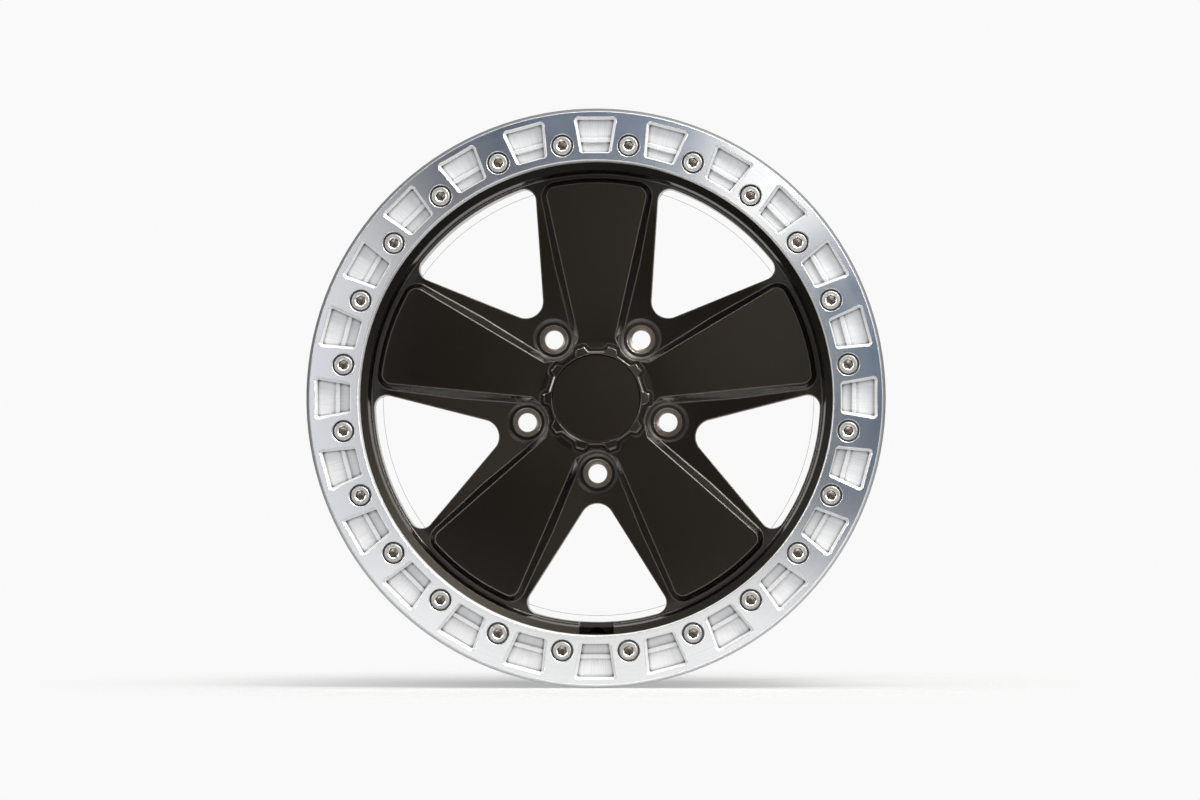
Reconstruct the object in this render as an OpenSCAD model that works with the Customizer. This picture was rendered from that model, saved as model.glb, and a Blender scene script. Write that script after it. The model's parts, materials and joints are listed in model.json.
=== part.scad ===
// Beadlock wheel: one-piece forged wheel, screwed clamp ring, lug bushes and centre cap.
// Everything is drawn with the wheel axis along Z and the outboard face up, then laid so that
// the outboard face looks along -Y and the valve side is down.

/* [Rim] */
// Radius of the bead seats
bead_r = 231; // [200:1:280]
// Width over the ring face and the inboard flange
wheel_w = 244; // [210:1:300]
// Height of the inboard flange above the bead seat
flange_h = 17.3; // [14:0.1:20]
// Thickness of the inboard flange
flange_t = 14; // [10:0.5:18]
// Width of the front bead seat behind the ring
seat_w = 16; // [12:0.5:20]
// Height of the front bead stop above the seat
stop_h = 12; // [8:0.5:15]
// Wall thickness of the barrel
wall_t = 8; // [6:0.5:10]
// Depth of the drop centre below the bead seat
well_h = 24; // [20:0.5:26]

/* [Clamp ring] */
// Thickness of the ring at the screws
ring_t = 20; // [17:0.5:24]
// Thickness of the ring over the tyre bead
clamp_t = 14; // [12:0.5:16]
// Reach of the ring outside the bead seat
ring_out = 20.5; // [16:0.5:26]
// Reach of the ring inside the bead seat
ring_in = 25; // [23:0.5:28]
// Number of ring screws and of ring pockets
screw_n = 24; // [20:1:24]
// Distance of the screw circle inside the bead seat
screw_in = 10; // [9.5:0.5:12]
// Depth of the ring pockets
pocket_d = 6.5; // [5:0.5:8]
// Height of the rib across each pocket floor
rib_h = 2.4; // [1:0.2:4]

/* [Ring screws] */
// Thread diameter of a ring screw
screw_d = 10; // [8:1:10]
// Length of a ring screw under its head
screw_l = 30; // [25:1:32]
// Diameter of a screw head
head_d = 16; // [13:0.5:16]
// Height of a screw head
head_h = 10; // [8:0.5:10]
// Width across flats of the socket
socket_af = 8; // [6:1:8]

/* [Hub] */
// Depth of the hub face below the ring face
hub_drop = 30; // [24:1:40]
// Thickness of the hub from its face to the mounting face
hub_t = 42; // [36:1:50]
// Width of the mounting face outside the lug circle
pad_w = 11; // [10:0.5:16]
// Radius of the hub bore
bore_r = 35.8; // [30:0.1:36]
// Radius of the lug bolt circle
lug_r = 65; // [63:0.5:68]
// Radius of the hole for a lug bolt
lug_hole_r = 8.25; // [7:0.25:8.5]

/* [Spokes] */
// Drop from the ring face to the outer end of a paddle
paddle_drop = 24; // [18:1:28]
// Drop from the ring face to the web beside a paddle
web_drop = 36; // [33:1:42]
// Fall of the web towards the hub, in degrees
web_fall = 7; // [3:0.5:9]
// Half width of a paddle at its neck
neck_w = 13.1; // [11:0.5:15]
// Spread angle of a paddle side
spread = 15.34; // [13:0.2:17]
// Draft angle of the paddle sides
draft = 22; // [12:1:26]
// Corner radius of a paddle
paddle_c = 8; // [5:0.5:10]
// Radius of the inner tip of a window
tip_c = 15; // [10:0.5:17]
// Distance of a window tip outside the lug circle
tip_out = 26.4; // [25:0.2:34]
// Spread angle of a window side
win_spread = 32.2; // [28:0.2:33]

/* [Centre] */
// Radius of the cap disc
cap_r = 38.5; // [37:0.5:38.5]
// Radius over the lobes of the lock ring
lobe_r = 46.8; // [46:0.2:47.4]
// Depth of the gaps between the lobes
lobe_h = 5.4; // [4:0.2:5.6]
// Height of the lock ring
lock_h = 10; // [8:0.5:12]

/* [Hidden] */
$fn = 96;
// Axial levels, measured from the middle of the wheel
face_z = wheel_w / 2;
mount_z = face_z - ring_t;
bead_z = face_z - clamp_t;
stop_z = mount_z - seat_w;
hub_z = face_z - hub_drop;
pad_z = hub_z - hub_t;
pad_r = lug_r + pad_w;
paddle_z = face_z - paddle_drop;
web_z = face_z - web_drop;
back_z = -wheel_w / 2;
web_back_z = web_z - 20;
// Radii of the rim and the ring
ring_r = bead_r + ring_out;
ring_bore_r = bead_r - ring_in;
screw_r = bead_r - screw_in;
well_r = bead_r - well_h;
inner_r = well_r - wall_t;
win_r = inner_r - 4;
end_r = inner_r - 10.5;
lip_r = inner_r + 1;
// Inboard end of the drop centre, and the rise to the barrel behind it
well_end_z = 12;
rise_w = 20;
barrel_h = 13;
// Window: distance of its tip from the axis and its corner radius at the rim
tip_in = lug_r + tip_out;
win_c = 10.4;
// Slope of a drafted wall
slope = tan(draft);
// Spoke web: a cone that falls towards the hub and blends into the level moat floor
web_flat_r = inner_r - 9;
web_blend = 150;
web_cone_r = web_flat_r - web_blend * sin(web_fall);
web_cone_z = web_z - web_blend * (1 - cos(web_fall));
// Ring pockets: margins inside the ring's edges, half width and lean of the sides
pocket_out = 10.9;
pocket_in = 8.3;
pocket_w = 1.61 * screw_r / screw_n;
pocket_lean = 9.7;
// Screws
hole_r = screw_d / 2 + 0.5;
cbore_r = head_d / 2 + 1.7;
seat_z = face_z - head_h - 0.6;
insert_r = screw_d / 2 + 0.75;
insert_l = 19;
tap_l = 24;
// Lug holes: a wide cone, a round floor and a pocket for the bush
lug_n = 5;
step = 360 / lug_n;
spot_z = hub_z - 20;
spot_r = 17.2;
spot_slope = 0.13;
mouth_r = 15.8;
seat_top_z = spot_z - 5;
bush_h = 10;
bush_r = lug_hole_r + 4.15;
ball_r = 14;
ball_mouth_r = bush_r - 0.3;
// Cap and lock ring
lobe_w = 2.4;
lobe_c = 2.2;
flank = 23;
recess_gap = 2.6;
recess_z = hub_z - 2;
step_z = recess_z - 17;
cap_bore_r = bore_r - 1.6;
cap_seat_z = recess_z + 2.6;
cap_face_z = recess_z + lock_h - 1.4;
leg_r = cap_bore_r - 0.8;
leg_t = 2;
leg_end_z = step_z - 5;
groove_z = leg_end_z - 1;
wire_r = 0.9;
wire_z = step_z - 1;
// Valve
valve_r = 5.65;
valve_w = 30;
valve_floor_r = ring_bore_r - 0.5;
valve_z = web_z;

// Lays the wheel axis along Y with the outboard face towards -Y
module upright() {
    rotate([90, 0, 0]) children();
}

// Copies the children round the axis, starting at angle a0 from +X
module around(n, a0) {
    for (i = [0 : n - 1])
        rotate([0, 0, a0 + i * 360 / n]) children();
}

// Solid with sloping sides: corner centres p (counter-clockwise), corner radius r0 below and r1 above,
// sides e inside the corner cones, so that they cross instead of touching
module drafted(p, r0, r1, h, e) {
    n = len(p);
    in = 0.5;
    linear_extrude(height = h) polygon(p);
    for (i = [0 : n - 1]) {
        a = p[i];
        b = p[(i + 1) % n];
        translate([a[0], a[1], 0]) {
            cylinder(h = h, r1 = r0, r2 = r1);
            rotate([0, 0, atan2(b[1] - a[1], b[0] - a[0])]) rotate([90, 0, 90])
                linear_extrude(height = norm(b - a))
                    polygon([[in, 0], [e - r0, 0], [e - r1, h], [in, h]]);
        }
    }
}

// Points of an arc about c, radius r, from angle a to angle b in n steps
function arc(c, r, a, b, n) = [for (k = [0 : n]) c + r * [cos(a + (b - a) * k / n), sin(a + (b - a) * k / n)]];

// Outline round corner centres p (counter-clockwise), every corner of radius r in n steps
function rounded(p, r, n) = [for (i = [0 : len(p) - 1])
    let (d = p[i] - p[(i + len(p) - 1) % len(p)], e = p[(i + 1) % len(p)] - p[i],
        a = atan2(-d[0], d[1]), turn = (atan2(-e[0], e[1]) - a + 360) % 360)
        each arc(p[i], r, a, a + turn, n)];

// Rim section, from the ring seat over the bead seats to the inboard flange and back inside
module rim_section() {
    z0 = stop_z - 8;
    mid_z = well_end_z - rise_w;
    mid_r = well_r + barrel_h;
    mid_in_r = mid_r - wall_t + 0.5;
    flange_r = bead_r + flange_h;
    rear_z = back_z + flange_t;
    polygon([
        [lip_r, mount_z - 5.5], [ring_bore_r + 0.5, mount_z], [bead_r - 1, mount_z], [bead_r, mount_z - 1],
        [bead_r, stop_z], [bead_r + stop_h - 1, stop_z], [bead_r + stop_h, stop_z - 1],
        [bead_r + stop_h, z0 + 1], [bead_r + stop_h - 1, z0], [bead_r + 1, z0],
        [well_r, z0 - 18], [well_r, well_end_z], [mid_r, mid_z], [mid_r, rear_z + 36],
        [bead_r - 2, rear_z + 26], [bead_r + 0.8, rear_z + 24], [bead_r, rear_z + 21], [bead_r, rear_z + 3],
        [bead_r + 1.5, rear_z + 0.6], [bead_r + 4, rear_z], [flange_r - 3, rear_z],
        [flange_r - 0.8, rear_z - 1.2], [flange_r, rear_z - 3.5], [flange_r - 0.8, rear_z - 6],
        [flange_r - 3, rear_z - 7.5], [bead_r + 4, back_z + 2], [bead_r - 1, back_z],
        [bead_r - 7, back_z], [bead_r - 8.5, back_z + 1.5],
        [bead_r - 8.5, rear_z + 22], [mid_in_r, rear_z + 34], [mid_in_r, mid_z + 4],
        [inner_r, well_end_z + 2], [inner_r, web_back_z - 6], [inner_r - 4, web_back_z],
        [inner_r - 4, web_z], [inner_r - 2, web_z], [lip_r, mount_z - 5.5]
    ]);
}

// Disc section: moat floor, blend, web cone, mounting face and sloping back
module disc_section() {
    in_r = cap_bore_r - 6;
    in_z = web_cone_z - (web_cone_r - in_r) * tan(web_fall);
    polygon([
        [in_r, pad_z], [pad_r - 1, pad_z], [pad_r, pad_z + 1], [pad_r + 2, pad_z + 6],
        [inner_r - 3, web_back_z], [inner_r - 3, web_z], [web_flat_r, web_z],
        [web_cone_r, web_cone_z], [in_r, in_z]
    ]);
    intersection() {
        translate([web_flat_r, web_z - web_blend]) circle(r = web_blend, $fn = 720);
        polygon([[web_cone_r, web_cone_z], [web_flat_r, web_z - web_blend / 4],
            [web_flat_r, web_z + 1], [web_cone_r - 1, web_cone_z + 8]]);
    }
}

// One paddle of the spoke star, on +Y, drafted and with rounded corners and a curved end
module paddle(low_z, high_z) {
    k = tan(spread);
    neck_y = lug_r + 0.5;
    // Corner centres lie on x = k * y - m
    m = k * neck_y - neck_w + paddle_c / cos(spread);
    q = end_r - paddle_c;
    cy = (k * m + sqrt(q * q * (1 + k * k) - m * m)) / (1 + k * k);
    cx = k * cy - m;
    r_low = paddle_c + (paddle_z - low_z) * slope;
    r_high = paddle_c - (high_z - paddle_z) * slope;
    e_low = end_r + (paddle_z - low_z) * slope;
    e_high = end_r - (high_z - paddle_z) * slope;
    h = high_z - low_z;
    translate([0, 0, low_z]) hull() {
        for (c = [[0, m / k], [cx, cy], [-cx, cy]])
            translate(c) cylinder(h = h, r1 = r_low, r2 = r_high, $fn = 72);
        intersection() {
            cylinder(h = h, r1 = e_low, r2 = e_high, $fn = 240);
            linear_extrude(height = h)
                polygon([[0, 0], [cx * 1.5, cy * 1.5], [-cx * 1.5, cy * 1.5]]);
        }
    }
}

// Lowered V beside two paddles, round a lug hole on +Y
module lug_valley(low_z, high_z) {
    a = step / 2;
    c = lug_r + 10.6;
    k = tan(spread);
    r = (c * sin(a) - (neck_w + k * (c * cos(a) - lug_r - 0.5))) * cos(spread);
    r_low = r - (paddle_z - low_z) * slope;
    r_high = r + (high_z - paddle_z) * slope;
    v = a - spread;
    run = 30;
    translate([0, 0, low_z])
        drafted([[0, c], [run * sin(v), c + run * cos(v)], [-run * sin(v), c + run * cos(v)]],
            r_low, r_high, high_z - low_z, 0);
}

// Spoke star: five paddles and the hub face, cut to a shallow dish on top
module star() {
    low_z = web_back_z + 4;
    high_z = paddle_z + 2;
    intersection() {
        union() {
            around(lug_n, 0) paddle(low_z, high_z);
            difference() {
                translate([0, 0, low_z]) cylinder(h = high_z - low_z, r = lug_r + 9);
                around(lug_n, step / 2) lug_valley(low_z - 1, high_z + 1);
            }
        }
        rotate_extrude($fn = 360)
            polygon([[0, pad_z], [inner_r, pad_z], [inner_r, paddle_z + 0.4], [50, hub_z], [0, hub_z]]);
    }
}

// Plan of a spoke window, on +Y: round tip, straight sides, round corners, outer edge along the rim
module window_plan() {
    u = [sin(win_spread), cos(win_spread)];
    w = [cos(win_spread), -sin(win_spread)];
    t = [0, tip_in + tip_c];
    // Corner centre: on the side line moved in, at win_r - win_c from the axis
    base = t + (tip_c - win_c) * w;
    q = win_r - win_c;
    c = base + (sqrt(pow(base * u, 2) - base * base + q * q) - base * u) * u;
    a = atan2(c[1], c[0]);
    polygon(concat(
        arc(t, tip_c, 180 + win_spread, 360 - win_spread, 20),
        arc(c, win_c, -win_spread, a, 14),
        arc([0, 0], win_r, a, 180 - a, 24),
        arc([-c[0], c[1]], win_c, 180 - a, 180 + win_spread, 14)));
}

// Milled pocket behind a paddle, on +Y, open to the back
module back_pocket() {
    y0 = pad_r + 22;
    y1 = end_r - 22;
    x1 = (y1 - lug_r) * tan(spread) + neck_w - 17;
    translate([0, 0, pad_z]) linear_extrude(height = paddle_z - 12 - pad_z)
        polygon(rounded([[-1, y0], [1, y0], [x1, y1], [-x1, y1]], 9, 8));
}

// Cuts for one lug hole: spot face, bush pocket, through hole
module lug_cut() {
    translate([0, lug_r, 0]) {
        translate([0, 0, spot_z]) cylinder(h = 30, r1 = spot_r, r2 = spot_r + 30 * spot_slope);
        translate([0, 0, seat_top_z]) cylinder(h = 10, r = mouth_r);
        translate([0, 0, seat_top_z - bush_h]) cylinder(h = bush_h + 1, r = bush_r);
        translate([0, 0, pad_z - 1]) cylinder(h = hub_t, r = lug_hole_r);
        translate([0, 0, pad_z - 0.01]) cylinder(h = 1.01, r1 = lug_hole_r + 1, r2 = lug_hole_r);
    }
}

// Valve cut on -Y: flat pocket in the lip and a slanting hole into the air space
module valve_cut() {
    rotate([0, 0, 180]) {
        translate([-valve_w / 2, win_r - 6, valve_z - 10])
            cube([valve_w, valve_floor_r - win_r + 6, ring_t + 40]);
        translate([0, valve_floor_r - 2.5, valve_z]) rotate([-135, 0, 0]) {
            translate([0, 0, -14]) cylinder(h = 60, r = valve_r);
            translate([0, 0, -14]) cylinder(h = 24, r = 9.5);
            translate([0, 0, 18]) cylinder(h = 22, r = 10);
        }
    }
}

module wheel_forging() {
    color([0.13, 0.12, 0.11]) upright() difference() {
        union() {
            rotate_extrude($fn = 360) rim_section();
            rotate_extrude($fn = 360) disc_section();
            star();
        }
        around(lug_n, step / 2) translate([0, 0, pad_z - 1])
            linear_extrude(height = wheel_w / 2 - pad_z) window_plan();
        around(lug_n, step / 2) lug_cut();
        around(lug_n, 0) back_pocket();
        // Hub relief between the lug holes, on the mounting face
        around(lug_n, 0) translate([0, 0, pad_z - 1]) linear_extrude(height = 12)
            polygon(rounded([[-7, lug_r - 3], [7, lug_r - 3], [7, lug_r + 2], [-7, lug_r + 2]], 6, 8));
        // Hub bore with its chamfer, groove for the cap's legs, cap bore
        translate([0, 0, pad_z - 1]) cylinder(h = groove_z - pad_z + 2, r = bore_r);
        translate([0, 0, pad_z - 0.01]) cylinder(h = 2.01, r1 = bore_r + 2, r2 = bore_r);
        translate([0, 0, groove_z]) cylinder(h = step_z - groove_z, r = bore_r + 1);
        translate([0, 0, step_z - 1]) cylinder(h = hub_t, r = cap_bore_r);
        // Recess under the lock ring, following its lobes
        translate([0, 0, recess_z]) linear_extrude(height = 10) lobed(recess_gap);
        around(screw_n, 180 / screw_n) translate([0, screw_r, mount_z - tap_l])
            cylinder(h = tap_l + 1, r = insert_r);
        valve_cut();
    }
}

// Corner centres of a ring pocket on +Y from radius y0 to y1, sides sloping to the wheel axis
function pocket_line(y0, y1) =
    let (x1 = pocket_w, x0 = x1 - (y1 - y0) * tan(pocket_lean))
    [[-x0, y0], [x0, y0], [x1, y1], [-x1, y1]];

// One ring pocket on +Y with a wide chamfer, its floor rib left standing
module ring_pocket() {
    y1 = ring_r - pocket_out;
    y0 = ring_bore_r + pocket_in;
    rib_y = screw_r + 3;
    difference() {
        union() {
            translate([0, 0, face_z - pocket_d]) linear_extrude(height = pocket_d - 1)
                polygon(rounded(pocket_line(y0, y1), 1.2, 4));
            translate([0, 0, face_z - 3])
                drafted(pocket_line(y0 + 1.8, y1), 0.9, 4.3, 3.4, 0.2);
        }
        translate([-30, rib_y, face_z - pocket_d - 1]) rotate([90, 0, 90])
            linear_extrude(height = 60)
                polygon([[-2.8, 0], [2.8, 0], [1.5, rib_h + 1], [-1.5, rib_h + 1]]);
    }
}

module beadlock_ring() {
    color([0.78, 0.79, 0.81]) upright() difference() {
        rotate_extrude($fn = 360) polygon([
            [ring_bore_r, mount_z + 1], [ring_bore_r + 1, mount_z], [bead_r + 0.6, mount_z],
            [bead_r + 0.6, bead_z - 2], [bead_r + 2.6, bead_z], [ring_r - 2, bead_z], [ring_r, bead_z + 2],
            [ring_r, face_z - 3], [ring_r - 0.9, face_z - 0.9], [ring_r - 3, face_z],
            [ring_bore_r + 1.2, face_z], [ring_bore_r, face_z - 1.2]
        ]);
        around(screw_n, 0) ring_pocket();
        around(screw_n, 180 / screw_n) translate([0, screw_r, 0]) {
            translate([0, 0, mount_z - 1]) cylinder(h = ring_t + 2, r = hole_r);
            translate([0, 0, seat_z]) cylinder(h = head_h + 2, r = cbore_r);
            translate([0, 0, face_z - 0.6]) cylinder(h = 0.8, r1 = cbore_r, r2 = cbore_r + 0.8);
        }
    }
}

// One socket head screw, head seat at z = 0
module ring_screw(turn) {
    ac = socket_af / cos(30);
    difference() {
        union() {
            cylinder(h = head_h - 0.9, r = head_d / 2);
            translate([0, 0, head_h - 0.9]) cylinder(h = 0.9, r1 = head_d / 2, r2 = head_d / 2 - 0.9);
            translate([0, 0, 1 - screw_l]) cylinder(h = screw_l - 0.5, r = screw_d / 2);
            translate([0, 0, -screw_l]) cylinder(h = 1, r1 = screw_d / 2 - 1, r2 = screw_d / 2);
        }
        rotate([0, 0, turn]) translate([0, 0, head_h / 2]) cylinder(h = head_h, r = ac / 2, $fn = 6);
        translate([0, 0, head_h - 0.7]) cylinder(h = 0.8, r1 = socket_af / 2, r2 = ac / 2 + 0.5);
        translate([0, 0, head_h / 2 - 1.6]) cylinder(h = 1.61, r1 = 0.4, r2 = socket_af / 2 - 0.4);
    }
}

module ring_screws() {
    color([0.62, 0.61, 0.59]) upright()
        for (i = [0 : screw_n - 1])
            rotate([0, 0, (i + 0.5) * 360 / screw_n]) translate([0, screw_r, seat_z])
                ring_screw((i * 37) % 60);
}

module thread_inserts() {
    color([0.5, 0.5, 0.48]) upright()
        around(screw_n, 180 / screw_n) translate([0, screw_r, mount_z - 0.8 - insert_l]) difference() {
            cylinder(h = insert_l, r = insert_r);
            translate([0, 0, -1]) cylinder(h = insert_l + 2, r = screw_d / 2);
        }
}

// Lug bush number i, a steel ring with a ball seat
module lug_seat(i) {
    dip = sqrt(ball_r * ball_r - ball_mouth_r * ball_mouth_r);
    color([0.55, 0.5, 0.45]) upright()
        rotate([0, 0, step / 2 + (i - 1) * step]) translate([0, lug_r, seat_top_z - bush_h]) difference() {
            cylinder(h = bush_h, r = bush_r);
            translate([0, 0, -1]) cylinder(h = bush_h + 2, r = lug_hole_r);
            translate([0, 0, bush_h + dip]) sphere(r = ball_r);
        }
}

// Outline of the lock ring, grown by g: lobes with rounded corners and flats between them
module lobed(g) {
    c = [lobe_w, lobe_r - lobe_c];
    r = lobe_c + g;
    // Foot of the right flank, on the flat half a pitch away
    p = c + r * [cos(flank), sin(flank)];
    half = 90 / lug_n;
    t = (p * [sin(half), cos(half)] - (lobe_r - lobe_h + g)) / cos(flank + half);
    foot = p + t * [sin(flank), -cos(flank)];
    right = concat([foot], arc(c, r, flank, 90, 5));
    one = concat(right, [for (i = [len(right) - 1 : -1 : 0]) [-right[i][0], right[i][1]]]);
    polygon([for (k = [0 : 2 * lug_n - 1]) for (q = one)
        let (a = half * (2 * k + 1)) [q[0] * cos(a) - q[1] * sin(a), q[0] * sin(a) + q[1] * cos(a)]]);
}

module lock_ring() {
    bevel = 1.6;
    color([0.06, 0.06, 0.06]) upright() difference() {
        translate([0, 0, recess_z]) {
            linear_extrude(height = lock_h - bevel) lobed(0);
            translate([0, 0, lock_h - bevel])
                linear_extrude(height = bevel, scale = 1 - bevel / lobe_r) lobed(0);
        }
        translate([0, 0, cap_seat_z]) cylinder(h = lock_h, r = cap_r + 0.4);
        translate([0, 0, recess_z - 1]) cylinder(h = lock_h, r = cap_bore_r + 0.3);
    }
}

module centre_cap() {
    h = cap_face_z - cap_seat_z;
    color([0.05, 0.05, 0.05]) upright() difference() {
        union() {
            translate([0, 0, cap_seat_z]) cylinder(h = h - 0.8, r = cap_r);
            translate([0, 0, cap_face_z - 0.8]) cylinder(h = 0.8, r1 = cap_r, r2 = cap_r - 0.8);
            translate([0, 0, leg_end_z]) cylinder(h = cap_seat_z - leg_end_z + 1, r = leg_r);
            // Barbs that snap behind the step in the bore
            translate([0, 0, step_z - 2.4]) cylinder(h = 2.4, r1 = leg_r, r2 = cap_bore_r + 0.9);
        }
        translate([0, 0, leg_end_z - 1]) cylinder(h = cap_face_z - leg_end_z - 1.6, r = leg_r - leg_t);
        // Slots between the legs
        for (i = [0 : 3])
            rotate([0, 0, i * 45]) translate([-3, -50, leg_end_z - 1])
                cube([6, 100, cap_seat_z - leg_end_z]);
        wire_ring();
    }
}

// Ring of spring wire inside the legs
module wire_ring() {
    translate([0, 0, wire_z]) rotate_extrude()
        translate([leg_r - leg_t - wire_r + 0.4, 0]) circle(r = wire_r, $fn = 24);
}

module cap_spring() {
    color([0.6, 0.6, 0.62]) upright() wire_ring();
}

wheel_forging();
beadlock_ring();
ring_screws();
thread_inserts();
lug_seat(1);  // lug_seat_1
lug_seat(2);  // lug_seat_2
lug_seat(3);  // lug_seat_3
lug_seat(4);  // lug_seat_4
lug_seat(5);  // lug_seat_5
lock_ring();
centre_cap();
cap_spring();
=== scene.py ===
import json
import math

import bpy
import numpy as np
from mathutils import Matrix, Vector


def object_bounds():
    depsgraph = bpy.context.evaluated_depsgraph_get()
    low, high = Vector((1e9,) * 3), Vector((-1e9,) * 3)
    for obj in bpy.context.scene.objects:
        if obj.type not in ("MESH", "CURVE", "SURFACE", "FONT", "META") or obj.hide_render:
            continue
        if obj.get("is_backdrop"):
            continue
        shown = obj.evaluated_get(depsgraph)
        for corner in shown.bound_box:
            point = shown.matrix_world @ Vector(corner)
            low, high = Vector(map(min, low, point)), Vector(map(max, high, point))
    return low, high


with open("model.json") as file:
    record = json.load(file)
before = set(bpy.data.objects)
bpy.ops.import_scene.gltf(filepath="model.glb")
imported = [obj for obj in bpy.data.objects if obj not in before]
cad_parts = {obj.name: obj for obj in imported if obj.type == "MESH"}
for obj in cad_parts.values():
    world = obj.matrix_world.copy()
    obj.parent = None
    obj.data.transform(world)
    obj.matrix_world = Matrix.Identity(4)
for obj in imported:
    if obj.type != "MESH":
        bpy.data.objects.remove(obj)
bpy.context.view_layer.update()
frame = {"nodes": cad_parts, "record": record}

nodes = frame["nodes"]
scene = bpy.context.scene
scene.view_settings.view_transform = "Standard"
print("frame loaded:", len(nodes), "nodes")


# Node helpers

def addNode(tree, kind, **settings):
    # a setting goes to the node's input of that name, or else to the node itself
    node = tree.nodes.new(kind)
    for name, value in settings.items():
        if name in node.inputs:
            node.inputs[name].default_value = value
        else:
            setattr(node, name, value)
    return node


def link(tree, output, target):
    tree.links.new(output, target)


def feed(tree, value, target):
    # an output is linked, a number is set, and a colour is set with full alpha
    if isinstance(value, bpy.types.NodeSocket):
        link(tree, value, target)
    else:
        target.default_value = (*value, 1) if isinstance(value, tuple) else value


def maths(tree, operation, first, second=None):
    node = addNode(tree, "ShaderNodeMath", operation=operation)
    feed(tree, first, node.inputs[0])
    if second is not None:
        feed(tree, second, node.inputs[1])
    return node.outputs[0]


def plus(tree, first, second):
    return maths(tree, "ADD", first, second)


def times(tree, first, second):
    return maths(tree, "MULTIPLY", first, second)


def distance(tree, across, up):
    # root of across squared plus up squared
    return maths(tree, "SQRT", plus(tree, times(tree, across, across), times(tree, up, up)))


def remap(tree, value, old, new, smooth=False):
    # takes one span to another and holds the value at both ends
    kind = "SMOOTHSTEP" if smooth else "LINEAR"
    node = addNode(tree, "ShaderNodeMapRange", interpolation_type=kind)
    for name, number in zip(("From Min", "From Max", "To Min", "To Max"), (*old, *new)):
        node.inputs[name].default_value = number
    link(tree, value, node.inputs["Value"])
    return node.outputs["Result"]


def ramp(tree, value, stops):
    node = addNode(tree, "ShaderNodeValToRGB")
    elements = node.color_ramp.elements
    for place, _ in stops[2:]:      # a new ramp has two stops already
        elements.new(place)
    for element, (place, colour) in zip(elements, sorted(stops)):
        element.position = place
        element.color = (*colour, 1)
    link(tree, value, node.inputs["Fac"])
    return node.outputs["Color"]


def layColour(tree, under, over, mask, blend="MIX"):
    # the colour over lies on the colour under where the mask is 1
    node = addNode(tree, "ShaderNodeMix", data_type="RGBA", blend_type=blend)
    feed(tree, mask, node.inputs["Factor"])
    feed(tree, under, node.inputs["A"])
    feed(tree, over, node.inputs["B"])
    return node.outputs["Result"]


def objectPlace(tree):
    # x, y and z of the point in the wheel's own frame
    parts = addNode(tree, "ShaderNodeSeparateXYZ")
    link(tree, addNode(tree, "ShaderNodeTexCoord").outputs["Object"], parts.inputs[0])
    return parts.outputs


def scaled(colour, share):
    return tuple(value * share for value in colour)


# Shared effects

def newGroup(name, inputs, outputs):
    # takes a place and numbers with their usual values, and gives numbers
    group = bpy.data.node_groups.new(name, "ShaderNodeTree")
    group.interface.new_socket("Place", in_out="INPUT", socket_type="NodeSocketVector")
    for label, value in inputs.items():
        socket = group.interface.new_socket(label, in_out="INPUT", socket_type="NodeSocketFloat")
        socket.default_value = value
    for label in outputs:
        group.interface.new_socket(label, in_out="OUTPUT", socket_type="NodeSocketFloat")
    return group, addNode(group, "NodeGroupInput"), addNode(group, "NodeGroupOutput")


def useGroup(tree, group, values):
    node = addNode(tree, "ShaderNodeGroup", node_tree=group)
    for name, value in values.items():
        node.inputs[name].default_value = value
    link(tree, addNode(tree, "ShaderNodeTexCoord").outputs["Object"], node.inputs["Place"])
    return node.outputs


turnedNoise = dict(Scale=1.0, Detail=3.0, Roughness=0.6)
alongScale = 40.0      # how fast the turned grain changes along the axis, per metre


def makeTurnedGrain():
    # noise on radius and angle about the wheel's axis, so that it runs in rings or in rays
    group, given, out = newGroup("turnedGrain", {"Across": 900.0, "Around": 3.0}, ["Grain"])
    parts = addNode(group, "ShaderNodeSeparateXYZ")
    link(group, given.outputs["Place"], parts.inputs[0])
    x, y, z = parts.outputs
    angle = maths(group, "ARCTAN2", x, z)
    point = addNode(group, "ShaderNodeCombineXYZ")
    link(group, times(group, distance(group, x, z), given.outputs["Across"]), point.inputs[0])
    link(group, times(group, angle, given.outputs["Around"]), point.inputs[1])
    link(group, times(group, y, alongScale), point.inputs[2])
    noise = addNode(group, "ShaderNodeTexNoise", **turnedNoise)
    link(group, point.outputs[0], noise.inputs["Vector"])
    link(group, noise.outputs["Fac"], out.inputs["Grain"])
    return group


mottleNoise = {"Cloud": dict(Detail=4.0, Roughness=0.55), "Speck": dict(Detail=2.0, Roughness=0.55)}


def makeMottle():
    # a cloud and a fine speck, for handling marks and the texture of a coat
    group, given, out = newGroup("mottle", {"Cloud": 18.0, "Speck": 900.0}, list(mottleNoise))
    for label, settings in mottleNoise.items():
        noise = addNode(group, "ShaderNodeTexNoise", **settings)
        link(group, given.outputs["Place"], noise.inputs["Vector"])
        link(group, given.outputs[label], noise.inputs["Scale"])
        link(group, noise.outputs["Fac"], out.inputs[label])
    return group


turnedGrain = makeTurnedGrain()
mottle = makeMottle()

cornerShade = dict(samples=6, openFrom=0.3, openTo=0.88)


def shadeCorners(tree, colour, reach, low):
    # darkens a colour in corners and grooves narrower than the reach
    c = cornerShade
    corner = addNode(tree, "ShaderNodeAmbientOcclusion", samples=c["samples"], only_local=True,
                     Distance=reach)
    stops = [(c["openFrom"], (low, low, low)), (c["openTo"], (1, 1, 1))]
    shade = ramp(tree, corner.outputs["AO"], stops)
    return layColour(tree, colour, shade, 1.0, "MULTIPLY")


# Materials: each takes its fixed values from a dictionary and its detail from the groups

def newMaterial(name):
    material = bpy.data.materials.new(name)
    material.use_nodes = True
    material.node_tree.nodes.clear()
    return material, material.node_tree


def showShader(tree, shader):
    output = addNode(tree, "ShaderNodeOutputMaterial")
    link(tree, shader.outputs[0], output.inputs["Surface"])


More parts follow.
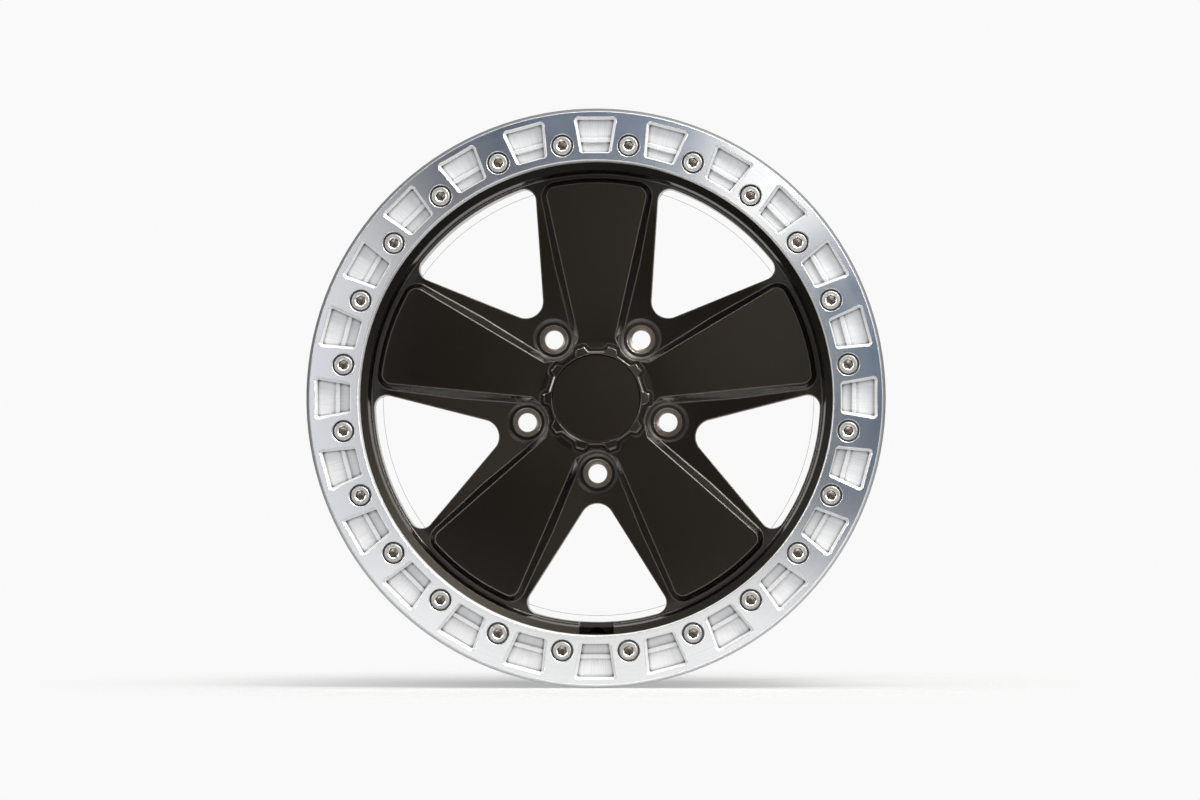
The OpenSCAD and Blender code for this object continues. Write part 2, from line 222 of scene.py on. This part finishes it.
def startMaterial(name, finish):
    material, tree = newMaterial(name)
    shader = addNode(tree, "ShaderNodeBsdfPrincipled", **finish)
    showShader(tree, shader)
    return material, tree, shader


def setNormal(tree, shader, height, bump, roundedNormal=None):
    # fine bump from the height, on top of the rounded normal where there is one
    node = addNode(tree, "ShaderNodeBump", Strength=bump["strength"], Distance=bump["depth"])
    link(tree, height, node.inputs["Height"])
    if roundedNormal is not None:
        link(tree, roundedNormal, node.inputs["Normal"])
    link(tree, node.outputs[0], shader.inputs["Normal"])


bevelSamples = 8


def roundEdges(tree, rounding):
    # the normal that the surface would have with its edges rounded; the rounding may vary
    node = addNode(tree, "ShaderNodeBevel", samples=bevelSamples)
    feed(tree, rounding, node.inputs["Radius"])
    return node.outputs[0]


def edgeMask(tree, roundedNormal, span):
    # 0 on the flats, rising to 1 where the rounded normal turns away from the plain one
    turned = addNode(tree, "ShaderNodeVectorMath", operation="DOT_PRODUCT")
    link(tree, roundedNormal, turned.inputs[0])
    link(tree, addNode(tree, "ShaderNodeNewGeometry").outputs["Normal"], turned.inputs[1])
    return remap(tree, turned.outputs["Value"], span, (0, 1))


# The forging's coat. Places are in metres: outboard along Y, slope by distance from the axis
blackCoat = dict(
    finish={"Specular IOR Level": 0.6, "Specular Tint": (1.0, 0.94, 0.86, 1), "Coat Roughness": 0.15},
    dark=(0.0048, 0.0036, 0.0024), light=(0.0070, 0.0053, 0.0037), shadeSpan=(0.35, 0.75),
    streaks=dict(Across=26.0, Around=240.0), streakShare=0.6,
    marks=dict(Cloud=9.0, Speck=1400.0), cloudShare=0.5,
    outboard=(-0.070, -0.060), slopeSpan=(0.1992, 0.2004), slope=(0.010, 0.009, 0.0075), slopeRough=0.32,
    rounding=0.0020, slopeRounding=0.1, turnedSpan=(0.995, 0.90), edge=(0.085, 0.080, 0.072), edgeRough=0.24,
    rough=(0.175, 0.205), coat=0.2, bump=dict(strength=0.03, depth=0.00003))


def makeBlackCoat(c):
    # satin black with a warm brushed tint: rays of fine streaks and a faint cloud
    material, tree, shader = startMaterial("blackCoat", c["finish"])
    streak = useGroup(tree, turnedGrain, c["streaks"])["Grain"]
    marks = useGroup(tree, mottle, c["marks"])
    shade = plus(tree, times(tree, streak, c["streakShare"]), times(tree, marks["Cloud"], c["cloudShare"]))
    # edges are rounded on the outboard side only; the slope under the clamp ring is rougher, and painted
    # shade makes it a dark metal that reflects little
    x, y, z = objectPlace(tree)
    outboard = remap(tree, y, c["outboard"], (1, 0))
    onSlope = remap(tree, distance(tree, x, z), c["slopeSpan"], (0, 1), smooth=True)
    shadedSlope = times(tree, outboard, onSlope)
    rounded = times(tree, outboard, remap(tree, shadedSlope, (0, 1), (1, c["slopeRounding"])))
    roundedNormal = roundEdges(tree, times(tree, rounded, c["rounding"]))
    setNormal(tree, shader, marks["Speck"], c["bump"], roundedNormal)
    # painted highlight: the rounded edges get a lighter colour, and they are rougher and without the coat
    onEdge = times(tree, edgeMask(tree, roundedNormal, c["turnedSpan"]), outboard)
    stops = list(zip(c["shadeSpan"], (c["dark"], c["light"])))
    colour = layColour(tree, ramp(tree, shade, stops), c["edge"], onEdge)
    link(tree, layColour(tree, colour, c["slope"], shadedSlope), shader.inputs["Base Color"])
    rough = remap(tree, shade, c["shadeSpan"], c["rough"])
    rougher = plus(tree, times(tree, shadedSlope, c["slopeRough"]), times(tree, onEdge, c["edgeRough"]))
    link(tree, plus(tree, rough, rougher), shader.inputs["Roughness"])
    link(tree, shadedSlope, shader.inputs["Metallic"])
    coat = times(tree, remap(tree, shadedSlope, (0, 1), (c["coat"], 0)), maths(tree, "SUBTRACT", 1.0, onEdge))
    link(tree, coat, shader.inputs["Coat Weight"])
    return material


# The clamp ring. Face, wall and floor are places along Y, edge and inner are distances from the
# axis, and a span of heights says where painted floor light weakens the painted shade on the outer edge
ringMetal = dict(
    face=-0.1219, wall=-0.1212, floor=-0.1160,
    polish=(0.90, 0.905, 0.915), polishLow=0.94, polishSpan=(0.3, 0.7),
    milled=(0.85, 0.85, 0.855), milledLow=0.88, milledHigh=1.06, milledSpan=(0.3, 0.7),
    rings=dict(Across=2600.0, Around=1.2), rays=dict(Across=60.0, Around=420.0),
    marks=dict(Cloud=26.0, Speck=700.0),
    edge=(0.2479, 0.2490), paintedEdgeShade=(0.12, 0.12, 0.126), paintedFloorLight=(-0.20, 0.02), shadeLeftNearFloor=0.35,
    inner=(0.2195, 0.2235), innerFloorShade=(0.16, 0.165, 0.17), innerFloorShadeShare=0.12,
    cornerReach=0.0035, cornerTone=0.05, floorMetal=0.5,
    rough=(0.13, 0.19), cloudSpan=(0.35, 0.7), cloudRough=0.04, milledRough=0.32, edgeRough=0.5,
    ringHeight=0.35, bump=dict(strength=0.15, depth=0.00003))


def makeRingMetal(c):
    # polished face, pale chamfers and milled pocket floors, told apart by depth below the face
    material, tree, shader = startMaterial("ringMetal", {})
    x, y, z = objectPlace(tree)
    inPocket = remap(tree, y, (c["face"], c["wall"]), (0, 1), smooth=True)
    onFloor = remap(tree, y, (c["wall"], c["floor"]), (0, 1), smooth=True)
    rings = useGroup(tree, turnedGrain, c["rings"])["Grain"]
    rays = useGroup(tree, turnedGrain, c["rays"])["Grain"]
    cloud = useGroup(tree, mottle, c["marks"])["Cloud"]
    polishTones = (scaled(c["polish"], c["polishLow"]), c["polish"])
    milledTones = (scaled(c["milled"], c["milledLow"]), scaled(c["milled"], c["milledHigh"]))
    polished = ramp(tree, cloud, list(zip(c["polishSpan"], polishTones)))
    milled = ramp(tree, rays, list(zip(c["milledSpan"], milledTones)))
    colour = layColour(tree, polished, milled, inPocket)
    # painted shade: the turned outer edge is darker than the polished face, less so near the floor,
    # where painted light from the floor takes some of it away
    radius = distance(tree, x, z)
    onEdge = remap(tree, radius, c["edge"], (0, 1), smooth=True)
    paintedFloorLight = remap(tree, z, c["paintedFloorLight"], (c["shadeLeftNearFloor"], 1), smooth=True)
    colour = layColour(tree, colour, c["paintedEdgeShade"], times(tree, onEdge, paintedFloorLight))
    # painted shade: a pocket's floor inside its rib is darker, where the rib's shade falls
    inner = times(tree, onFloor, remap(tree, radius, c["inner"], (c["innerFloorShadeShare"], 0), smooth=True))
    colour = layColour(tree, colour, c["innerFloorShade"], inner)
    link(tree, shadeCorners(tree, colour, c["cornerReach"], c["cornerTone"]), shader.inputs["Base Color"])
    # painted reflection: the chamfers are not metal but pale and diffuse, so they show evenly bright; the
    # floors are half metal
    onFace = maths(tree, "SUBTRACT", 1.0, inPocket)
    link(tree, plus(tree, onFace, times(tree, onFloor, c["floorMetal"])), shader.inputs["Metallic"])
    rough = plus(tree, remap(tree, rings, c["polishSpan"], c["rough"]),
                 remap(tree, cloud, c["cloudSpan"], (0, c["cloudRough"])))
    rougher = maths(tree, "MAXIMUM", times(tree, inPocket, c["milledRough"]),
                    times(tree, onEdge, c["edgeRough"]))
    link(tree, plus(tree, rough, rougher), shader.inputs["Roughness"])
    height = plus(tree, times(tree, rings, c["ringHeight"]), times(tree, onFloor, rays))
    setNormal(tree, shader, height, c["bump"])
    return material


# Steels by the record's slot. Sunk is a span along Y from a screw's head down into its socket
steelFinishes = {
    "screw_steel": dict(name="screwSteel", colour=(0.52, 0.51, 0.49), rough=(0.36, 0.46),
                        sunk=(-0.1204, -0.1190), sunkShade=(0.26, 0.23, 0.20)),
    "insert_steel": dict(name="insertSteel", colour=(0.50, 0.50, 0.48), rough=(0.30, 0.42)),
    "seat_steel": dict(name="seatSteel", colour=(0.66, 0.60, 0.54), rough=(0.26, 0.36), rounding=0.0004),
    "spring_steel": dict(name="springSteel", colour=(0.60, 0.60, 0.62), rough=(0.22, 0.34))}
steelDetail = dict(marks=dict(Cloud=120.0, Speck=2600.0), cornerReach=0.0035, cornerTone=0.06,
                   bump=dict(strength=0.08, depth=0.00003))

# The two plain blacks by the record's slot
blackFinishes = {
    "gloss_black": dict(name="glossBlack", colour=(0.006, 0.0055, 0.005), rough=(0.10, 0.20),
                        coat=1.0, shine=0.8, rounding=0.0010),
    "cap_black": dict(name="capBlack", colour=(0.0085, 0.0062, 0.0042), rough=(0.20, 0.24),
                      coat=0.0, shine=0.62, rounding=0.0012)}
blackDetail = dict(marks=dict(Cloud=60.0, Speck=1500.0), coatRough=0.08, tint=(1.0, 0.93, 0.84, 1),
                   bump=dict(strength=0.1, depth=0.00002))

stainLow = 0.8                # the darkest stain's share of the plain colour
stainSpan = (0.3, 0.7)
speckSpan = (0.35, 0.65)


def stained(tree, marks, colour):
    # the plain colour with soft darker stains
    return ramp(tree, marks["Cloud"], list(zip(stainSpan, (scaled(colour, stainLow), colour))))


def finishSurface(tree, shader, marks, c, bump):
    # roughness and bump from the fine speck, and rounded edges where the finish gives a rounding
    link(tree, remap(tree, marks["Speck"], speckSpan, c["rough"]), shader.inputs["Roughness"])
    roundedNormal = roundEdges(tree, c["rounding"]) if "rounding" in c else None
    setNormal(tree, shader, marks["Speck"], bump, roundedNormal)


def makeSteel(c, detail):
    # plain steel with a fine speck and soft stains
    material, tree, shader = startMaterial(c["name"], {"Metallic": 1.0})
    marks = useGroup(tree, mottle, detail["marks"])
    colour = stained(tree, marks, c["colour"])
    if "sunk" in c:
        # painted shade in the sockets and down the sides of the heads, where the counterbores shade them
        depth = objectPlace(tree)[1]
        sunk = remap(tree, depth, c["sunk"], (0, 1), smooth=True)
        colour = layColour(tree, colour, c["sunkShade"], sunk)
    shaded = shadeCorners(tree, colour, detail["cornerReach"], detail["cornerTone"])
    link(tree, shaded, shader.inputs["Base Color"])
    finishSurface(tree, shader, marks, c, detail["bump"])
    return material


def makeBlack(c, detail):
    # smooth black with slight waves in its gloss
    material, tree, shader = startMaterial(c["name"], {
        "Coat Weight": c["coat"], "Coat Roughness": detail["coatRough"],
        "Specular IOR Level": c["shine"], "Specular Tint": detail["tint"]})
    marks = useGroup(tree, mottle, detail["marks"])
    link(tree, stained(tree, marks, c["colour"]), shader.inputs["Base Color"])
    finishSurface(tree, shader, marks, c, detail["bump"])
    return material


materials = {"satin_black": makeBlackCoat(blackCoat), "polished_ring": makeRingMetal(ringMetal)}
materials.update({slot: makeSteel(c, steelDetail) for slot, c in steelFinishes.items()})
materials.update({slot: makeBlack(c, blackDetail) for slot, c in blackFinishes.items()})
for part in frame["record"]["subparts"]:
    for place in nodes[part["node"]].material_slots:
        place.material = materials[part["material_slot"]]
print("materials:", len(materials))


# Stage helpers

def addObject(name, data):
    thing = bpy.data.objects.new(name, data)
    scene.collection.objects.link(thing)
    return thing


def facing(back):
    # rotation that looks along minus back and keeps the picture upright
    right = np.cross([0, 0, 1], back)
    right = right / np.linalg.norm(right)
    up = np.cross(back, right)
    return Matrix(np.column_stack([right, up, back]).tolist()).to_euler()


def makeSheet(name, corners, faces, material):
    mesh = bpy.data.meshes.new(name)
    mesh.from_pydata([tuple(corner) for corner in corners], [], faces)
    mesh.materials.append(material)
    sheet = addObject(name, mesh)
    sheet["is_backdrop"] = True
    return sheet


def makeGlow(name, **settings):
    # the tone of the glow is a fixed colour, or an output that is linked afterwards
    material, tree = newMaterial(name)
    showShader(tree, addNode(tree, "ShaderNodeEmission", **settings))
    return material


def keepToReflections(thing):
    thing.visible_camera = False
    thing.visible_diffuse = False
    thing.visible_shadow = False
    thing.visible_transmission = False


# Long lens, a little to the right of the wheel's axis and below it, aimed just beside the ring's centre
camera = dict(distance=4.3, azimuth=1.9, elevation=-1.6, lens=148.8, sensor=36, farthest=50,
              aim=(0.0040, -0.122, -0.0020))


def makeCamera(c):
    a = math.radians(c["azimuth"])
    e = math.radians(c["elevation"])
    back = np.array([math.sin(a) * math.cos(e), -math.cos(a) * math.cos(e), math.sin(e)])
    data = bpy.data.cameras.new("camera")
    data.lens = c["lens"]
    data.sensor_width = c["sensor"]
    data.clip_end = c["farthest"]
    cam = addObject("camera", data)
    cam.location = np.array(c["aim"]) + back * c["distance"]
    cam.rotation_euler = facing(back)
    scene.camera = cam


# Pale floor, clearer away from the wheel so that it fades into the white backdrop
floorPaper = dict(half=2.6, drop=0.0002, tone=0.9, fade=(0.22, 0.62), clearest=0.40)


def makeFloor(c):
    material, tree = newMaterial("floorPaper")
    tone = c["tone"]
    paper = addNode(tree, "ShaderNodeBsdfDiffuse", Color=(tone, tone, tone, 1))
    clear = addNode(tree, "ShaderNodeBsdfTransparent")
    blend = addNode(tree, "ShaderNodeMixShader")
    length = addNode(tree, "ShaderNodeVectorMath", operation="LENGTH")
    link(tree, addNode(tree, "ShaderNodeTexCoord").outputs["Object"], length.inputs[0])
    faded = remap(tree, length.outputs["Value"], c["fade"], (c["clearest"], 1), smooth=True)
    link(tree, faded, blend.inputs[0])
    link(tree, paper.outputs[0], blend.inputs[1])
    link(tree, clear.outputs[0], blend.inputs[2])
    showShader(tree, blend)
    half, z = c["half"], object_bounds()[0].z - c["drop"]
    corners = [(-half, -half, z), (half, -half, z), (half, half, z), (-half, half, z)]
    makeSheet("floor", corners, [(0, 1, 2, 3)], material)


# Board in front of the wheel that only reflections see. It takes its tone from the direction round
# its middle, in turns from the right going up: a white box at the upper right, blue-grey gaps at the
# top and the right, pale at the left and white below. Nearer its middle than the span, the middle
# tones take over
studioBoard = dict(half=1.3, bottom=-0.25, y=-1.02, middle=(-0.030, 0.026), span=(0.205, 0.240))
boardTones = [
    (0.000, (0.100, 0.150, 0.200)), (0.042, (0.140, 0.195, 0.265)), (0.075, (0.150, 0.205, 0.280)),
    (0.099, (0.190, 0.250, 0.320)), (0.111, (1.45, 1.45, 1.44)), (0.174, (1.45, 1.45, 1.45)),
    (0.184, (0.130, 0.185, 0.260)), (0.208, (0.105, 0.160, 0.235)), (0.250, (0.115, 0.175, 0.250)),
    (0.292, (0.105, 0.135, 0.195)), (0.333, (0.035, 0.058, 0.085)), (0.360, (0.160, 0.170, 0.190)),
    (0.385, (0.480, 0.490, 0.510)), (0.417, (0.820, 0.820, 0.850)), (0.500, (0.800, 0.810, 0.860)),
    (0.583, (0.760, 0.780, 0.810)), (0.625, (1.05, 1.05, 1.05)), (0.700, (1.10, 1.10, 1.10)),
    (0.835, (1.12, 1.12, 1.12)), (0.875, (0.900, 0.920, 0.930)), (0.917, (0.230, 0.250, 0.290)),
    (0.958, (0.070, 0.110, 0.160))]
middleTones = [
    (0.00, (0.56, 0.485, 0.410)), (0.12, (0.60, 0.525, 0.445)), (0.25, (0.38, 0.325, 0.270)),
    (0.38, (0.13, 0.100, 0.078)), (0.50, (0.06, 0.045, 0.030)), (0.65, (0.02, 0.015, 0.010)),
    (0.80, (0.14, 0.110, 0.088)), (0.90, (0.30, 0.252, 0.206))]


def makeBoard(c, tones, middle):
    material = makeGlow("boardTones", Strength=1.0)
    tree = material.node_tree
    x, _, z = objectPlace(tree)
    across = maths(tree, "SUBTRACT", x, c["middle"][0])
    above = maths(tree, "SUBTRACT", z, c["middle"][1])
    turns = maths(tree, "DIVIDE", maths(tree, "ARCTAN2", above, across), 2 * math.pi)
    turn = maths(tree, "FRACT", plus(tree, turns, 1.0))
    outer = remap(tree, distance(tree, across, above), c["span"], (0, 1), smooth=True)
    tone = layColour(tree, ramp(tree, turn, middle), ramp(tree, turn, tones), outer)
    link(tree, tone, tree.nodes["Emission"].inputs["Color"])
    half, low, y = c["half"], c["bottom"], c["y"]
    corners = [(-half, y, low), (half, y, low), (half, y, half), (-half, y, half)]
    keepToReflections(makeSheet("studioBoard", corners, [(0, 1, 2, 3)], material))


# Panels before the wheel that only reflections see: direction round the axis in degrees from the
# right going up, distance from the axis, place along Y, width across, length along Y, glow
panels = [
    dict(name="keyStrip", turn=55, reach=1.5, y=-0.70, across=0.9, along=0.6, glow=52.0,
         tint=(1.0, 0.99, 0.97)),
    dict(name="leftStrip", turn=158, reach=1.6, y=-0.70, across=0.9, along=0.5, glow=16.0,
         tint=(0.97, 0.98, 1.0)),
    dict(name="rightStrip", turn=16, reach=1.6, y=-0.70, across=0.8, along=0.4, glow=16.0,
         tint=(1.0, 1.0, 1.0)),
    dict(name="lowStrip", turn=-82, reach=0.9, y=-0.85, across=0.8, along=0.3, glow=14.0,
         tint=(1.0, 1.0, 1.0)),
    dict(name="topStrip", turn=108, reach=1.5, y=-0.70, across=0.6, along=0.4, glow=16.0,
         tint=(1.0, 1.0, 1.0))]


def makePanel(c):
    # a flat panel square to the line from the wheel's axis to its middle
    a = math.radians(c["turn"])
    out = np.array([math.cos(a), 0, math.sin(a)])
    side = np.array([-math.sin(a), 0, math.cos(a)]) * c["across"] / 2
    along = np.array([0, c["along"] / 2, 0])
    middle = out * c["reach"] + np.array([0, c["y"], 0])
    corners = [middle - side - along, middle + side - along, middle + side + along, middle - side + along]
    glow = makeGlow(c["name"], Strength=c["glow"], Color=(*c["tint"], 1))
    keepToReflections(makeSheet(c["name"], corners, [(0, 1, 2, 3)], glow))


# Dark band level with the wheel, seen in reflections only
surround = dict(name="surround", radius=2.1, front=-0.50, back=0.42, steps=48, glow=0.06)


def makeBand(c):
    # x is the radius times the cosine of the angle and z times its sine, at the front and the back
    steps = c["steps"]
    angles = 2 * np.pi * np.arange(steps) / steps
    ring = np.column_stack([c["radius"] * np.cos(angles), 0 * angles, c["radius"] * np.sin(angles)])
    points = np.concatenate([ring + [0, c["front"], 0], ring + [0, c["back"], 0]])
    faces = [(i, (i + 1) % steps, steps + (i + 1) % steps, steps + i) for i in range(steps)]
    glow = makeGlow(c["name"], Strength=c["glow"])
    keepToReflections(makeSheet(c["name"], points.tolist(), faces, glow))


studioWorld = dict(seen=0.945, fill=0.55)


def makeWorld(c):
    # white to the camera and in reflections, softer for the light that falls on the wheel
    world = bpy.data.worlds.new("studio")
    scene.world = world
    world.use_nodes = True
    tree = world.node_tree
    tree.nodes.clear()
    rays = addNode(tree, "ShaderNodeLightPath")
    seen = addNode(tree, "ShaderNodeBackground", Color=(c["seen"], c["seen"], c["seen"], 1), Strength=1.0)
    fill = addNode(tree, "ShaderNodeBackground", Color=(1.0, 1.0, 1.0, 1), Strength=c["fill"])
    mirrored = maths(tree, "MAXIMUM", rays.outputs["Is Glossy Ray"], rays.outputs["Is Transmission Ray"])
    blend = addNode(tree, "ShaderNodeMixShader")
    link(tree, maths(tree, "MAXIMUM", rays.outputs["Is Camera Ray"], mirrored), blend.inputs[0])
    link(tree, fill.outputs[0], blend.inputs[1])
    link(tree, seen.outputs[0], blend.inputs[2])
    link(tree, blend.outputs[0], addNode(tree, "ShaderNodeOutputWorld").inputs["Surface"])


lamps = [
    dict(name="topLamp", place=(0.6, -0.7, 2.3), size=1.3, power=34, colour=(1.0, 0.99, 0.97)),
    dict(name="sideLamp", place=(1.9, -1.3, 1.1), size=0.9, power=10, colour=(1.0, 0.97, 0.93))]


def makeLamp(c):
    # a square soft lamp turned to the origin
    data = bpy.data.lights.new(c["name"], "AREA")
    data.size = c["size"]
    data.energy = c["power"]
    data.color = c["colour"]
    lamp = addObject(c["name"], data)
    place = np.array(c["place"])
    lamp.location = place
    lamp.rotation_euler = facing(place / np.linalg.norm(place))


makeCamera(camera)
makeFloor(floorPaper)
makeBoard(studioBoard, boardTones, middleTones)
makeWorld(studioWorld)
for panel in panels:
    makePanel(panel)
makeBand(surround)
for lamp in lamps:
    makeLamp(lamp)
print("stage ready")
